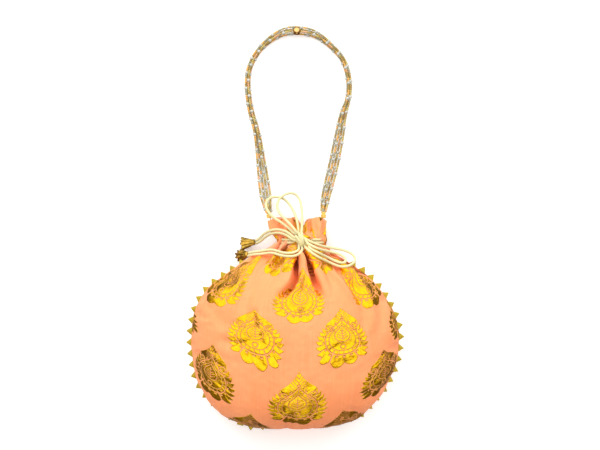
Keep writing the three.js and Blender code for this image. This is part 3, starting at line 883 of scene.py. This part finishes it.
def laid(places):
    """The places in metres, about 2.5 mm apart, lying over the cloth as a slack cord does: it
    touches the ridges and spans the hollows between them without a kink."""
    fine, _ = cord_line(places, DRAPE_STEP)
    floor = fine[:, 2] * MM
    for i, (x, y, _) in enumerate(fine[1:-1], 1):
        for turn in range(8):
            for reach in (0.0, 0.6, 1.0):
                off = CORD_RADIUS * reach
                around = turn * math.pi / 4
                place = Vector((x + off * math.cos(around), y + off * math.sin(around), 200))
                hit = cloth_top.ray_cast(place * MM, Vector((0, 0, -1)))[0]
                if hit:
                    floor[i] = max(floor[i], hit.z + (math.sqrt(CORD_RADIUS**2 - off**2) + 0.15) * MM)
    height = floor.copy()
    for _ in range(60):
        height[1:-1] = np.maximum(floor[1:-1], eased(height))
    for _ in range(6):
        height[1:-1] = eased(height)
    keep = np.unique(np.r_[np.arange(0, len(fine), 2), len(fine) - 1])
    return [(fine[i, 0] * MM, fine[i, 1] * MM, height[i]) for i in keep]


def neck_ring(y):
    """The cord's way round the cinched neck, from the knot's left side round the back to its right:
    out over the front between its two eyelets, and in the casing behind the silk elsewhere."""
    turns = np.linspace(0.32, 2 * math.pi - 0.28, 33)
    off = np.interp(turns, [0.6, 0.85, 2 * math.pi - 1.35, 2 * math.pi - 1.0], [2.3, -2.2, -2.2, 2.3])
    x = NECK_CENTRE[0] - (NECK_HALF_WIDTH + off) * np.sin(turns)
    z = NECK_CENTRE[1] + (np.where(np.cos(turns) > 0, 10.0, 9.5) + off) * np.cos(turns)
    return [(across * MM, y * MM, up * MM) for across, up in zip(x, z)]


def in_knot(places, shift):
    """Places inside the knot, in metres, moved over by shift for the second cord."""
    return [((x + 0.6 * shift) * MM, (y + 0.5 * shift) * MM, (z + 0.8 * shift) * MM) for x, y, z in places]


def cord_tube(name, line, radius, sides=10):
    """A closed round tube along a line, with its flat coordinates along and round it."""
    line = np.asarray(line, float)
    way = np.gradient(line, axis=0)
    way /= np.linalg.norm(way, axis=1, keepdims=True)
    side = np.zeros_like(line)
    side[0] = np.cross(way[0], (0.0, 0.0, 1.0) if abs(way[0][2]) < 0.9 else (1.0, 0.0, 0.0))
    for i in range(1, len(line)):
        side[i] = side[i - 1] - way[i] * (side[i - 1] @ way[i])
    side /= np.linalg.norm(side, axis=1, keepdims=True)
    up = np.cross(way, side)
    turn = np.arange(sides) * 2 * math.pi / sides
    points = (line[:, None] + radius * (np.cos(turn)[None, :, None] * side[:, None]
                                        + np.sin(turn)[None, :, None] * up[:, None]))
    count = len(line)
    index = np.arange(count * sides).reshape(count, sides)
    after = np.roll(index, -1, axis=1)
    quads = np.stack([index[:-1], index[1:], after[1:], after[:-1]], -1).reshape(-1, 4).tolist()
    ends = [index[0].tolist(), index[-1][::-1].tolist()]
    mesh = bpy.data.meshes.new(name)
    mesh.from_pydata(points.reshape(-1, 3).tolist(), [], quads + ends)
    along = lengths_along(line)
    round_it = np.arange(sides)
    around = np.stack([round_it, round_it, round_it + 1, round_it + 1], -1)
    around = np.tile(around, (count - 1, 1)) / sides
    rows = np.arange(count - 1)
    lengths = np.stack([along[rows], along[rows + 1], along[rows + 1], along[rows]], -1).repeat(sides, axis=0)
    layer = mesh.uv_layers.new(name="along")
    uv = np.zeros((len(mesh.loops), 2))
    uv[: len(quads) * 4] = np.stack([lengths, around], -1).reshape(-1, 2)
    layer.data.foreach_set("uv", uv.ravel())
    for polygon in mesh.polygons:
        polygon.use_smooth = len(polygon.vertices) == 4
    made = bpy.data.objects.new(name, mesh)
    scene.collection.objects.link(made)
    pick(made)
    bpy.ops.object.mode_set(mode="EDIT")
    bpy.ops.mesh.select_all(action="SELECT")
    bpy.ops.mesh.normals_make_consistent(inside=False)
    bpy.ops.object.mode_set(mode="OBJECT")
    return made


drawcords = {}
for name, routes in DRAWCORD_ROUTES.items():
    shift = 0 if name == "a" else 1
    places = laid(routes["upper_tail"])
    places += in_knot([(4.0, 88.6, 36.4), (9.2, 88.0, 35.4), (9.8, 91.6, 33.6), (6.0, 94.6, 32.8)], shift)
    places += laid(routes["top_loop"]) + in_knot([(4.0, 91.6, 33.2), (1.8, 88.0, 33.0)], shift)
    places += neck_ring(NECK_RING[name])
    places += in_knot([(8.6, 86.6, 34.4), (4.4, 87.6, 36.4), (5.4, 91.0, 38.4), (8.8, 91.2, 38.8)], shift)
    places += laid(routes["side_loop"])
    places += in_knot([(8.0, 86.0, 37.2), (5.0, 87.4, 37.8), (3.4, 85.0, 37.0)], shift)
    places += laid(routes["lower_tail"])
    line, _ = cord_line(places, DRAWCORD_STEP * MM)
    for _ in range(5):
        line[1:-1] = eased(line)
    line, length = cord_line(line, DRAWCORD_STEP * MM)
    cord = cord_tube(f"drawcord_{name}", line, CORD_RADIUS * MM)
    cord.data.materials.append(satin.material)
    drawcords[name] = (cord, line, length)

# ---------------------------------------------------------------- the bow's knot
# The two cords pass twice round themselves where they cross, drawn tight: short turns of the same
# satin lying side by side over a bunched core.
KNOT = Vector((4.9, 88.8, 36))
KNOT_CORE = Vector((5.2, 4.6, 3.4))
# Where each turn lies across the knot, and how far it leans, in radians.
KNOT_TURNS = ((-2.6, 0.5), (0.2, 0.42), (3.0, 0.36))
knot_turns = []
for n, (slide, lean) in enumerate(KNOT_TURNS):
    turn = np.linspace(0, 2 * math.pi, 40)
    ring = np.stack([slide + 1.2 * np.sin(turn + n), 5.6 * np.cos(turn), 3.6 * np.sin(turn) + 0.4], axis=1)
    spin = np.array(Matrix.Rotation(lean, 3, "Z"))
    ring = (ring @ spin.T + np.array(KNOT)) * MM
    knot_turns.append(cord_tube(f"knot_turn_{n + 1}", ring[:-1], CORD_RADIUS * MM, 12))
bpy.ops.object.select_all(action="DESELECT")
bpy.ops.mesh.primitive_uv_sphere_add(segments=24, ring_count=14, radius=1, location=tuple(KNOT * MM))
knot = bpy.context.object
knot.name = "satin_knot"
bpy.ops.object.mode_set(mode="EDIT")
bpy.ops.mesh.select_all(action="SELECT")
bpy.ops.transform.resize(value=tuple(KNOT_CORE * MM), center_override=tuple(KNOT * MM))
bpy.ops.object.mode_set(mode="OBJECT")
bpy.ops.object.transform_apply(location=True, rotation=True, scale=True)
bpy.ops.object.shade_smooth()
pick(knot, *knot_turns)
bpy.ops.object.join()
knot.data.materials.clear()
knot.data.materials.append(satin.material)
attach(knot, "root")
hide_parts("bow_knot")

# ---------------------------------------------------------------- the latkans
# A small bell of pleated gold tissue on each pair of cord ends, painted dark inside as its shade,
# bound at its tip with gold thread and closed by a gold bead in its mouth. Its tissue carries painted
# highlights and painted shade in broad patches.
# Where each bell's tip is, and the way that its mouth points.
LATKANS = {"upper": ((-43.4, 86.3, 9.4), (-1, -0.12, -0.1)),
           "lower": ((-50.4, 73.3, 21.6), (-0.6, -0.1, -0.79))}
BELL_LENGTH = 14.0
BELL_PLEATS = 9
LIP_RING = 9
LATKAN_BEAD_RADIUS = 2.2
# The tissue's two colours are painted light: a near-black painted shade and a pale gold painted highlight.
TISSUE_PAINTED_SHADE, TISSUE_PAINTED_HIGHLIGHT = (0.05, 0.02, 0.002, 1), (0.95, 0.62, 0.1, 1)
# A dark red-brown painted shade for the inside wall of each bell.
BELL_SHADE_DEEP, BELL_SHADE_PALE = (0.1, 0.02, 0.0, 1), (0.24, 0.05, 0.01, 1)
METAL_DEEP, METAL_PALE = (0.8, 0.5, 0.14, 1), (0.98, 0.72, 0.32, 1)
tissue = Finish("gold_tissue")
tissue_fine = tissue.noise(tissue.place((1, 1, 1)), 900, 2.0, 0.6)
tissue_broad = tissue.noise(tissue.place((1, 1, 1)), 170, 2.0)
# Broad and fine noise choose between the painted shade and the painted highlights on the tissue.
tissue_painted_light = (tissue_broad * 0.7 + tissue_fine * 0.3).spread(0.3, 2.4)
tissue.set(Base_Color=tissue.blend(tissue_painted_light, TISSUE_PAINTED_SHADE, TISSUE_PAINTED_HIGHLIGHT),
           Metallic=0.85, Roughness=0.28, Normal=tissue.bump(tissue_fine, 0.5, 0.0003))
# The painted shade inside the bells: dark red-brown with fine noise.
bell_shade = Finish("bell_painted_shade")
bell_shade_grain = bell_shade.noise(bell_shade.place((1, 1, 1)), 500)
bell_shade.set(Base_Color=bell_shade.blend(bell_shade_grain, BELL_SHADE_DEEP, BELL_SHADE_PALE), Roughness=0.7)
gold = Finish("gold_metal")
gold_wear = gold.noise(gold.place((1, 1, 1)), 700, 3.0)
gold.set(Base_Color=gold.blend(gold_wear, METAL_DEEP, METAL_PALE), Metallic=1.0,
         Roughness=0.2 + gold_wear * 0.12, Normal=gold.bump(gold_wear, 0.1, 0.0001))


def on_axis(points, tip, towards):
    """Points about the +Z axis, in millimetres, moved so that the axis runs from tip towards."""
    turn = Vector((0, 0, 1)).rotation_difference(Vector(towards).normalized()).to_matrix()
    return (np.asarray(points) @ np.array(turn).T + np.array(tip)) * MM


def pleated_bell(name, tip, towards):
    """The bell as one wall from its tip to its wavy mouth and back up its inside."""
    around = 54
    turn = np.linspace(0, 2 * math.pi, around, endpoint=False)
    # How far along the bell each ring is, its radius, and how deep its pleats are. The wall turns
    # inside after the ring at its lip.
    rings = [(-0.6, 1.6, 0.0), (0.0, 2.9, 0.1), (1.6, 3.2, 0.3), (2.2, 2.7, 0.2), (2.9, 3.1, 0.35),
             (5.0, 3.7, 0.6), (8.0, 4.5, 0.85), (11.0, 5.3, 1.0), (13.4, 6.2, 1.1), (14.0, 6.0, 1.1),
             (13.2, 5.4, 1.0), (10.0, 4.2, 0.8), (6.5, 3.0, 0.5), (5.0, 1.2, 0.1)]
    points = []
    for along, radius, pleat in rings:
        wave = pleat * np.cos(BELL_PLEATS * turn + 0.05 * along) + 0.25 * pleat * np.sin(4 * turn)
        out = radius + wave
        lip = along + (0.6 * np.sin(BELL_PLEATS * turn + 1) if along > 13 else 0 * turn)
        points.append(np.stack([out * np.cos(turn), out * np.sin(turn), lip], axis=1))
    points = on_axis(np.concatenate(points), tip, towards)
    index = np.arange(len(rings) * around).reshape(len(rings), around)
    after = np.roll(index, -1, axis=1)
    quads = np.stack([index[:-1], after[:-1], after[1:], index[1:]], -1).reshape(-1, 4).tolist()
    ends = [index[0][::-1].tolist(), index[-1].tolist()]
    mesh = bpy.data.meshes.new(name)
    mesh.from_pydata(points.tolist(), [], quads + ends)
    bell = bpy.data.objects.new(name, mesh)
    scene.collection.objects.link(bell)
    mesh.materials.append(tissue.material)
    mesh.materials.append(bell_shade.material)
    for n, polygon in enumerate(mesh.polygons):
        polygon.use_smooth = True
        # The inside wall, from the lip ring on, takes the painted shade.
        polygon.material_index = 1 if n >= around * LIP_RING and n != len(quads) else 0
    return bell


latkan_pieces = []
for name, (tip, towards) in LATKANS.items():
    bell = pleated_bell(f"latkan_{name}_tissue", tip, towards)
    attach(bell, "root")
    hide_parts(f"latkan_{name}_bell")
    end = Vector(tip) + Vector(towards).normalized() * (BELL_LENGTH - 0.4)
    bpy.ops.object.select_all(action="DESELECT")
    bpy.ops.mesh.primitive_uv_sphere_add(segments=20, ring_count=12, radius=LATKAN_BEAD_RADIUS * MM,
                                         location=tuple(end * MM))
    bead = bpy.context.object
    bead.name = f"latkan_{name}_gold_bead"
    bpy.ops.object.transform_apply(location=True, rotation=True, scale=True)
    bpy.ops.object.shade_smooth()
    bead.data.materials.append(gold.material)
    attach(bead, "root")
    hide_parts(f"latkan_{name}_bead")
    latkan_pieces += [bell, bead]

CORD_PARTS = ("neck", "top_loop", "side_loop", "upper_tail", "lower_tail")
for name, (cord, line, length) in drawcords.items():
    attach(cord, "root")
    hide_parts(*(f"drawcord_{name}_{part}" for part in CORD_PARTS))
    [knot] + latkan_pieces if name == "a" else [knot] + latkan_pieces[2:]

# ---------------------------------------------------------------- the handle
# Four threads strung with small pearls and seed beads, side by side from one corner of the frill
# over to the other. Places: x, y, the width of the bundle and its lift, in millimetres.
HANDLE_LINE = [
    (-28.2, 117.4, 4.4, 10), (-30.2, 125, 7, 5.5), (-32.0, 136, 10, 0.8), (-34.0, 150, 10, 0),
    (-37.3, 175.8, 7.5, 0), (-41.5, 203.6, 5, 0), (-47.7, 226.2, 4.4, 0), (-50.6, 245.7, 4, 0),
    (-51.0, 259.8, 3.8, 0), (-49.2, 271.3, 3.8, 0), (-43.6, 283.9, 3.8, 0), (-33.7, 296.5, 4.2, 0),
    (-21.1, 306.2, 5.6, 0), (-10.0, 310.8, 7, 0), (0.8, 311.8, 7, 0), (15.6, 309.8, 6.6, 0),
    (28.2, 303.4, 4.8, 0), (39.4, 293.6, 3.8, 0), (49.3, 282.3, 3.6, 0), (55.0, 268.3, 3.6, 0),
    (57.1, 252.7, 3.6, 0), (55.8, 238.7, 3.8, 0), (50.7, 222.0, 6, 0), (46.1, 196.8, 8.5, 0),
    (41.9, 175.4, 9, 0), (37.9, 157.4, 9, 0), (33.0, 138.2, 8, 0.8), (30.6, 126.0, 6, 5.5),
    (29.6, 117.4, 4.4, 10),
]
STRAND_REST = 2.2
STRAND_STEP = 2.0
PEARL_PITCH = 3.6
THREAD_RADIUS = 0.3
PEARL_RADIUS = 1.9
PEARL_LENGTH = 3.4
PEARL_GAP = 0.1
SEED_RADIUS = 1.25
SEED_LENGTH = 1.8
SEED_GAP = 0.08
SEEDS_BETWEEN = 7
# The gold ball: the strand that carries it, its place across, the height that the strand rises to
# over it, how wide that rise is, and how far from its middle the beads stop.
BALL_STRAND = 1
BALL_X = 0.8
BALL_HEIGHT = 8.1
BALL_HUMP = 13.0
BALL_CLEAR = 5.2
PEARL_DEEP, PEARL_PALE = (0.4, 0.42, 0.36, 1), (0.66, 0.66, 0.6, 1)
SEED_GLINT = (0.9, 0.8, 0.5, 1)
SEED_TINTS = {"gold": (0.42, 0.28, 0.05), "straw": (0.6, 0.48, 0.13), "clear": (0.38, 0.38, 0.26),
              "amber": (0.85, 0.45, 0.08), "peach": (0.78, 0.42, 0.2)}
SEED_RUNS = ["gold", "straw", "gold", "amber", "clear", "gold", "straw", "peach", "gold", "amber", "clear"]
THREAD_DEEP, THREAD_PALE = (0.72, 0.44, 0.05, 1), (0.95, 0.7, 0.18, 1)


def strand_places(strand):
    """The places of one strand: beside its neighbours, or on them where the bundle is narrow."""
    places = []
    for i, (x, y, width, lift) in enumerate(HANDLE_LINE):
        before, after = HANDLE_LINE[max(0, i - 1)], HANDLE_LINE[min(len(HANDLE_LINE) - 1, i + 1)]
        way = Vector((after[0] - before[0], after[1] - before[1])).normalized()
        across = (strand / 3 - 0.5) * width
        stacked = math.sqrt(max(0, PEARL_PITCH**2 - (width / 3) ** 2)) if strand % 2 else 0
        height = STRAND_REST + lift + stacked
        if strand == BALL_STRAND and y > 300:
            height += (BALL_HEIGHT - height) * hump(x, BALL_X, BALL_HUMP)
        places.append(((x - across * way.y) * MM, (y + across * way.x) * MM, height * MM))
    return places


def unit_bead(name, segments, rings, radius, half_length):
    """A bead about the origin with its hole along Z, cut flat at both holes."""
    bpy.ops.object.select_all(action="DESELECT")
    bpy.ops.mesh.primitive_uv_sphere_add(segments=segments, ring_count=rings, radius=radius * MM)
    bead = bpy.context.object
    bead.name = name
    bpy.ops.object.mode_set(mode="EDIT")
    for end in (-1, 1):
        bpy.ops.mesh.select_all(action="SELECT")
        bpy.ops.mesh.bisect(plane_co=(0, 0, end * half_length * MM), plane_no=(0, 0, end), use_fill=True,
                            clear_outer=True)
    bpy.ops.object.mode_set(mode="OBJECT")
    return bead


def place_on(line, along, lengths):
    """The 4 x 4 place of a bead strung on a line at a length along it."""
    behind, here, ahead = (read_line(line, along + step, lengths) for step in (-MM, 0, MM))
    turn = Vector((0, 0, 1)).rotation_difference(Vector(ahead - behind).normalized())
    return np.array(Matrix.Translation(here) @ turn.to_matrix().to_4x4())


pearl_finish = Finish("glass_pearl")
pearl_tint = pearl_finish.noise(pearl_finish.place((1, 1, 1)), 130, 1.0)
pearl_finish.set(Base_Color=pearl_finish.blend(pearl_tint, PEARL_DEEP, PEARL_PALE),
                 Roughness=0.2, Coat_Weight=0.3, Coat_Roughness=0.05)
seed_finish = Finish("glass_seed")
seed_tint = seed_finish.node("ShaderNodeAttribute", {"attribute_name": "tint"}, output="Color")
seed_cloud = seed_finish.noise(seed_finish.place((1, 1, 1)), 900, 1.0)
seed_finish.set(Base_Color=seed_finish.blend(seed_cloud * 0.25, seed_tint, SEED_GLINT), Metallic=0.3,
                Roughness=0.28, Coat_Weight=0.15, Coat_Roughness=0.1)
thread_finish = Finish("yellow_thread")
thread_ply = thread_finish.noise(thread_finish.place((1, 1, 1)), 1500, 2.0)
thread_finish.set(Base_Color=thread_finish.blend(thread_ply, THREAD_DEEP, THREAD_PALE),
                  Roughness=0.6, Normal=thread_finish.bump(thread_ply, 0.5, 0.0002), Sheen_Weight=0.2)

pearl_bead = unit_bead("pearl", 10, 7, PEARL_RADIUS, PEARL_LENGTH / 2)
seed_bead = unit_bead("seed", 8, 5, SEED_RADIUS, SEED_LENGTH / 2)
pearl_step = PEARL_LENGTH + PEARL_GAP
seed_step = SEED_LENGTH + SEED_GAP
run = SEEDS_BETWEEN + 1
strands = []
for strand in range(4):
    line, length = cord_line(strand_places(strand), STRAND_STEP * MM)
    lengths = lengths_along(line)
    thread = cord_tube(f"handle_thread_{strand + 1}", line, THREAD_RADIUS * MM, 6)
    thread.data.materials.append(thread_finish.material)
    pearls, seeds, tints = [], [], []
    along = 1.0 * MM
    count = strand * 2
    while along < length - 2 * MM:
        at = np.interp(along, lengths, line[:, 0])
        near_ball = strand == BALL_STRAND and abs(at - BALL_X * MM) < BALL_CLEAR * MM
        if count % run == 0:
            along += (pearl_step - seed_step) / 2 * MM
            if not near_ball:
                pearls.append(place_on(line, along, lengths))
            along += (pearl_step + seed_step) / 2 * MM
        else:
            if not near_ball:
                seeds.append(place_on(line, along, lengths))
                tint = SEED_RUNS[(count // run * 3 + count // 3 + strand * 4) % len(SEED_RUNS)]
                tints.append(SEED_TINTS[tint])
            along += seed_step * MM
        count += 1
    pearl_string = joined_copies(f"handle_pearls_{strand + 1}", pearl_bead, pearls)
    pearl_string.data.materials.append(pearl_finish.material)
    seed_string = joined_copies(f"handle_seeds_{strand + 1}", seed_bead, seeds)
    seed_string.data.materials.append(seed_finish.material)
    colours = seed_string.data.attributes.new("tint", "FLOAT_COLOR", "POINT")
    every_tint = np.repeat(np.c_[np.array(tints), np.ones(len(tints))], len(seed_bead.data.vertices), axis=0)
    colours.data.foreach_set("color", every_tint.ravel())
    for beads in (pearl_string, seed_string):
        for polygon in beads.data.polygons:
            polygon.use_smooth = True
        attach(beads, "root")
    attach(thread, "root")
    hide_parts(f"handle_strand_{strand + 1}")
    strands.append((thread, line, length, [pearl_string, seed_string]))
bpy.data.objects.remove(pearl_bead)
bpy.data.objects.remove(seed_bead)

# ---------------------------------------------------------------- the gold ball
# One plated ball at the top of the handle, bored for the strand that carries it, with a fine
# rolled rim round each end of its bore.
BALL_RADIUS = 4.25
BALL_BORE = 1.0
BALL_RIM = 0.35
ball_line = strands[BALL_STRAND][1]
ball_lengths = lengths_along(ball_line)
ball_along = ball_lengths[np.abs(ball_line[:, 0] - BALL_X * MM).argmin()]
bore_half = math.sqrt(BALL_RADIUS**2 - BALL_BORE**2)
bpy.ops.object.select_all(action="DESELECT")
bpy.ops.mesh.primitive_uv_sphere_add(segments=40, ring_count=20, radius=BALL_RADIUS * MM)
ball = bpy.context.object
ball.name = "gold_ball"
bpy.ops.object.mode_set(mode="EDIT")
for end in (-1, 1):
    bpy.ops.mesh.select_all(action="SELECT")
    bpy.ops.mesh.bisect(plane_co=(0, 0, end * bore_half * MM), plane_no=(0, 0, end), clear_outer=True)
bpy.ops.mesh.select_mode(type="EDGE")
bpy.ops.mesh.select_all(action="DESELECT")
bpy.ops.mesh.select_non_manifold()
bpy.ops.mesh.bridge_edge_loops()
bpy.ops.mesh.select_all(action="DESELECT")
bpy.ops.mesh.edges_select_sharp(sharpness=math.radians(50))
bpy.ops.mesh.bevel(offset=BALL_RIM * MM, segments=3)
bpy.ops.mesh.select_all(action="SELECT")
bpy.ops.mesh.normals_make_consistent(inside=False)
bpy.ops.mesh.select_mode(type="VERT")
bpy.ops.object.mode_set(mode="OBJECT")
bpy.ops.object.shade_smooth()
ball.data.transform(Matrix(place_on(ball_line, ball_along, ball_lengths).tolist()))
ball.data.materials.append(gold.material)
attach(ball, "root")
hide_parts("handle_ball")

# ---------------------------------------------------------------- the handle's ties
# Yellow thread wound round the four strands at each end and stitched down into the frill's corner.
TIE_TURNS = 5
TIE_HALF_LENGTH = 1.6
TIE_STEP = 0.6
TIE_THREAD_RADIUS = 0.36
TIE_CORE_RADIUS = 2.1
TIE_CORE = [(0, 4.6, 0.4), (0, 2.2, 0), (0, 0, 0), (0, -2.0, 0)]
TIE_END = [(1.6, -2.4, 0.6), (1.2, -4.6, -1.2), (0.6, -6.4, -2.6)]
for side, (x, y, _, lift) in {"left": HANDLE_LINE[0], "right": HANDLE_LINE[-1]}.items():
    centre = np.array([x, y - 3.7, STRAND_REST + lift + 1.6])
    turns = np.linspace(0, 2 * math.pi * TIE_TURNS, TIE_TURNS * 18 + 1)
    slide = np.linspace(TIE_HALF_LENGTH, -TIE_HALF_LENGTH, len(turns))
    winding = np.stack([2.4 * np.cos(turns), slide, 2.2 * np.sin(turns)], axis=1)
    down = np.array(TIE_END) * (1 if side == "left" else -1, 1, 1)
    wound, _ = cord_line(np.concatenate([winding, down]) * MM + centre * MM, TIE_STEP * MM)
    tie = cord_tube(f"tie_{side}_winding", wound, TIE_THREAD_RADIUS * MM, 6)
    core_line, _ = cord_line((np.array(TIE_CORE) + centre) * MM, TIE_STEP * MM)
    core = cord_tube(f"tie_{side}_core", core_line, TIE_CORE_RADIUS * MM, 16)
    pick(tie, core)
    bpy.ops.object.join()
    tie.data.materials.append(thread_finish.material)
    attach(tie, "root")
    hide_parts(f"handle_tie_{side}")

for strand, (thread, line, length, beads) in enumerate(strands):
    beads + ([ball] if strand == BALL_STRAND else [])
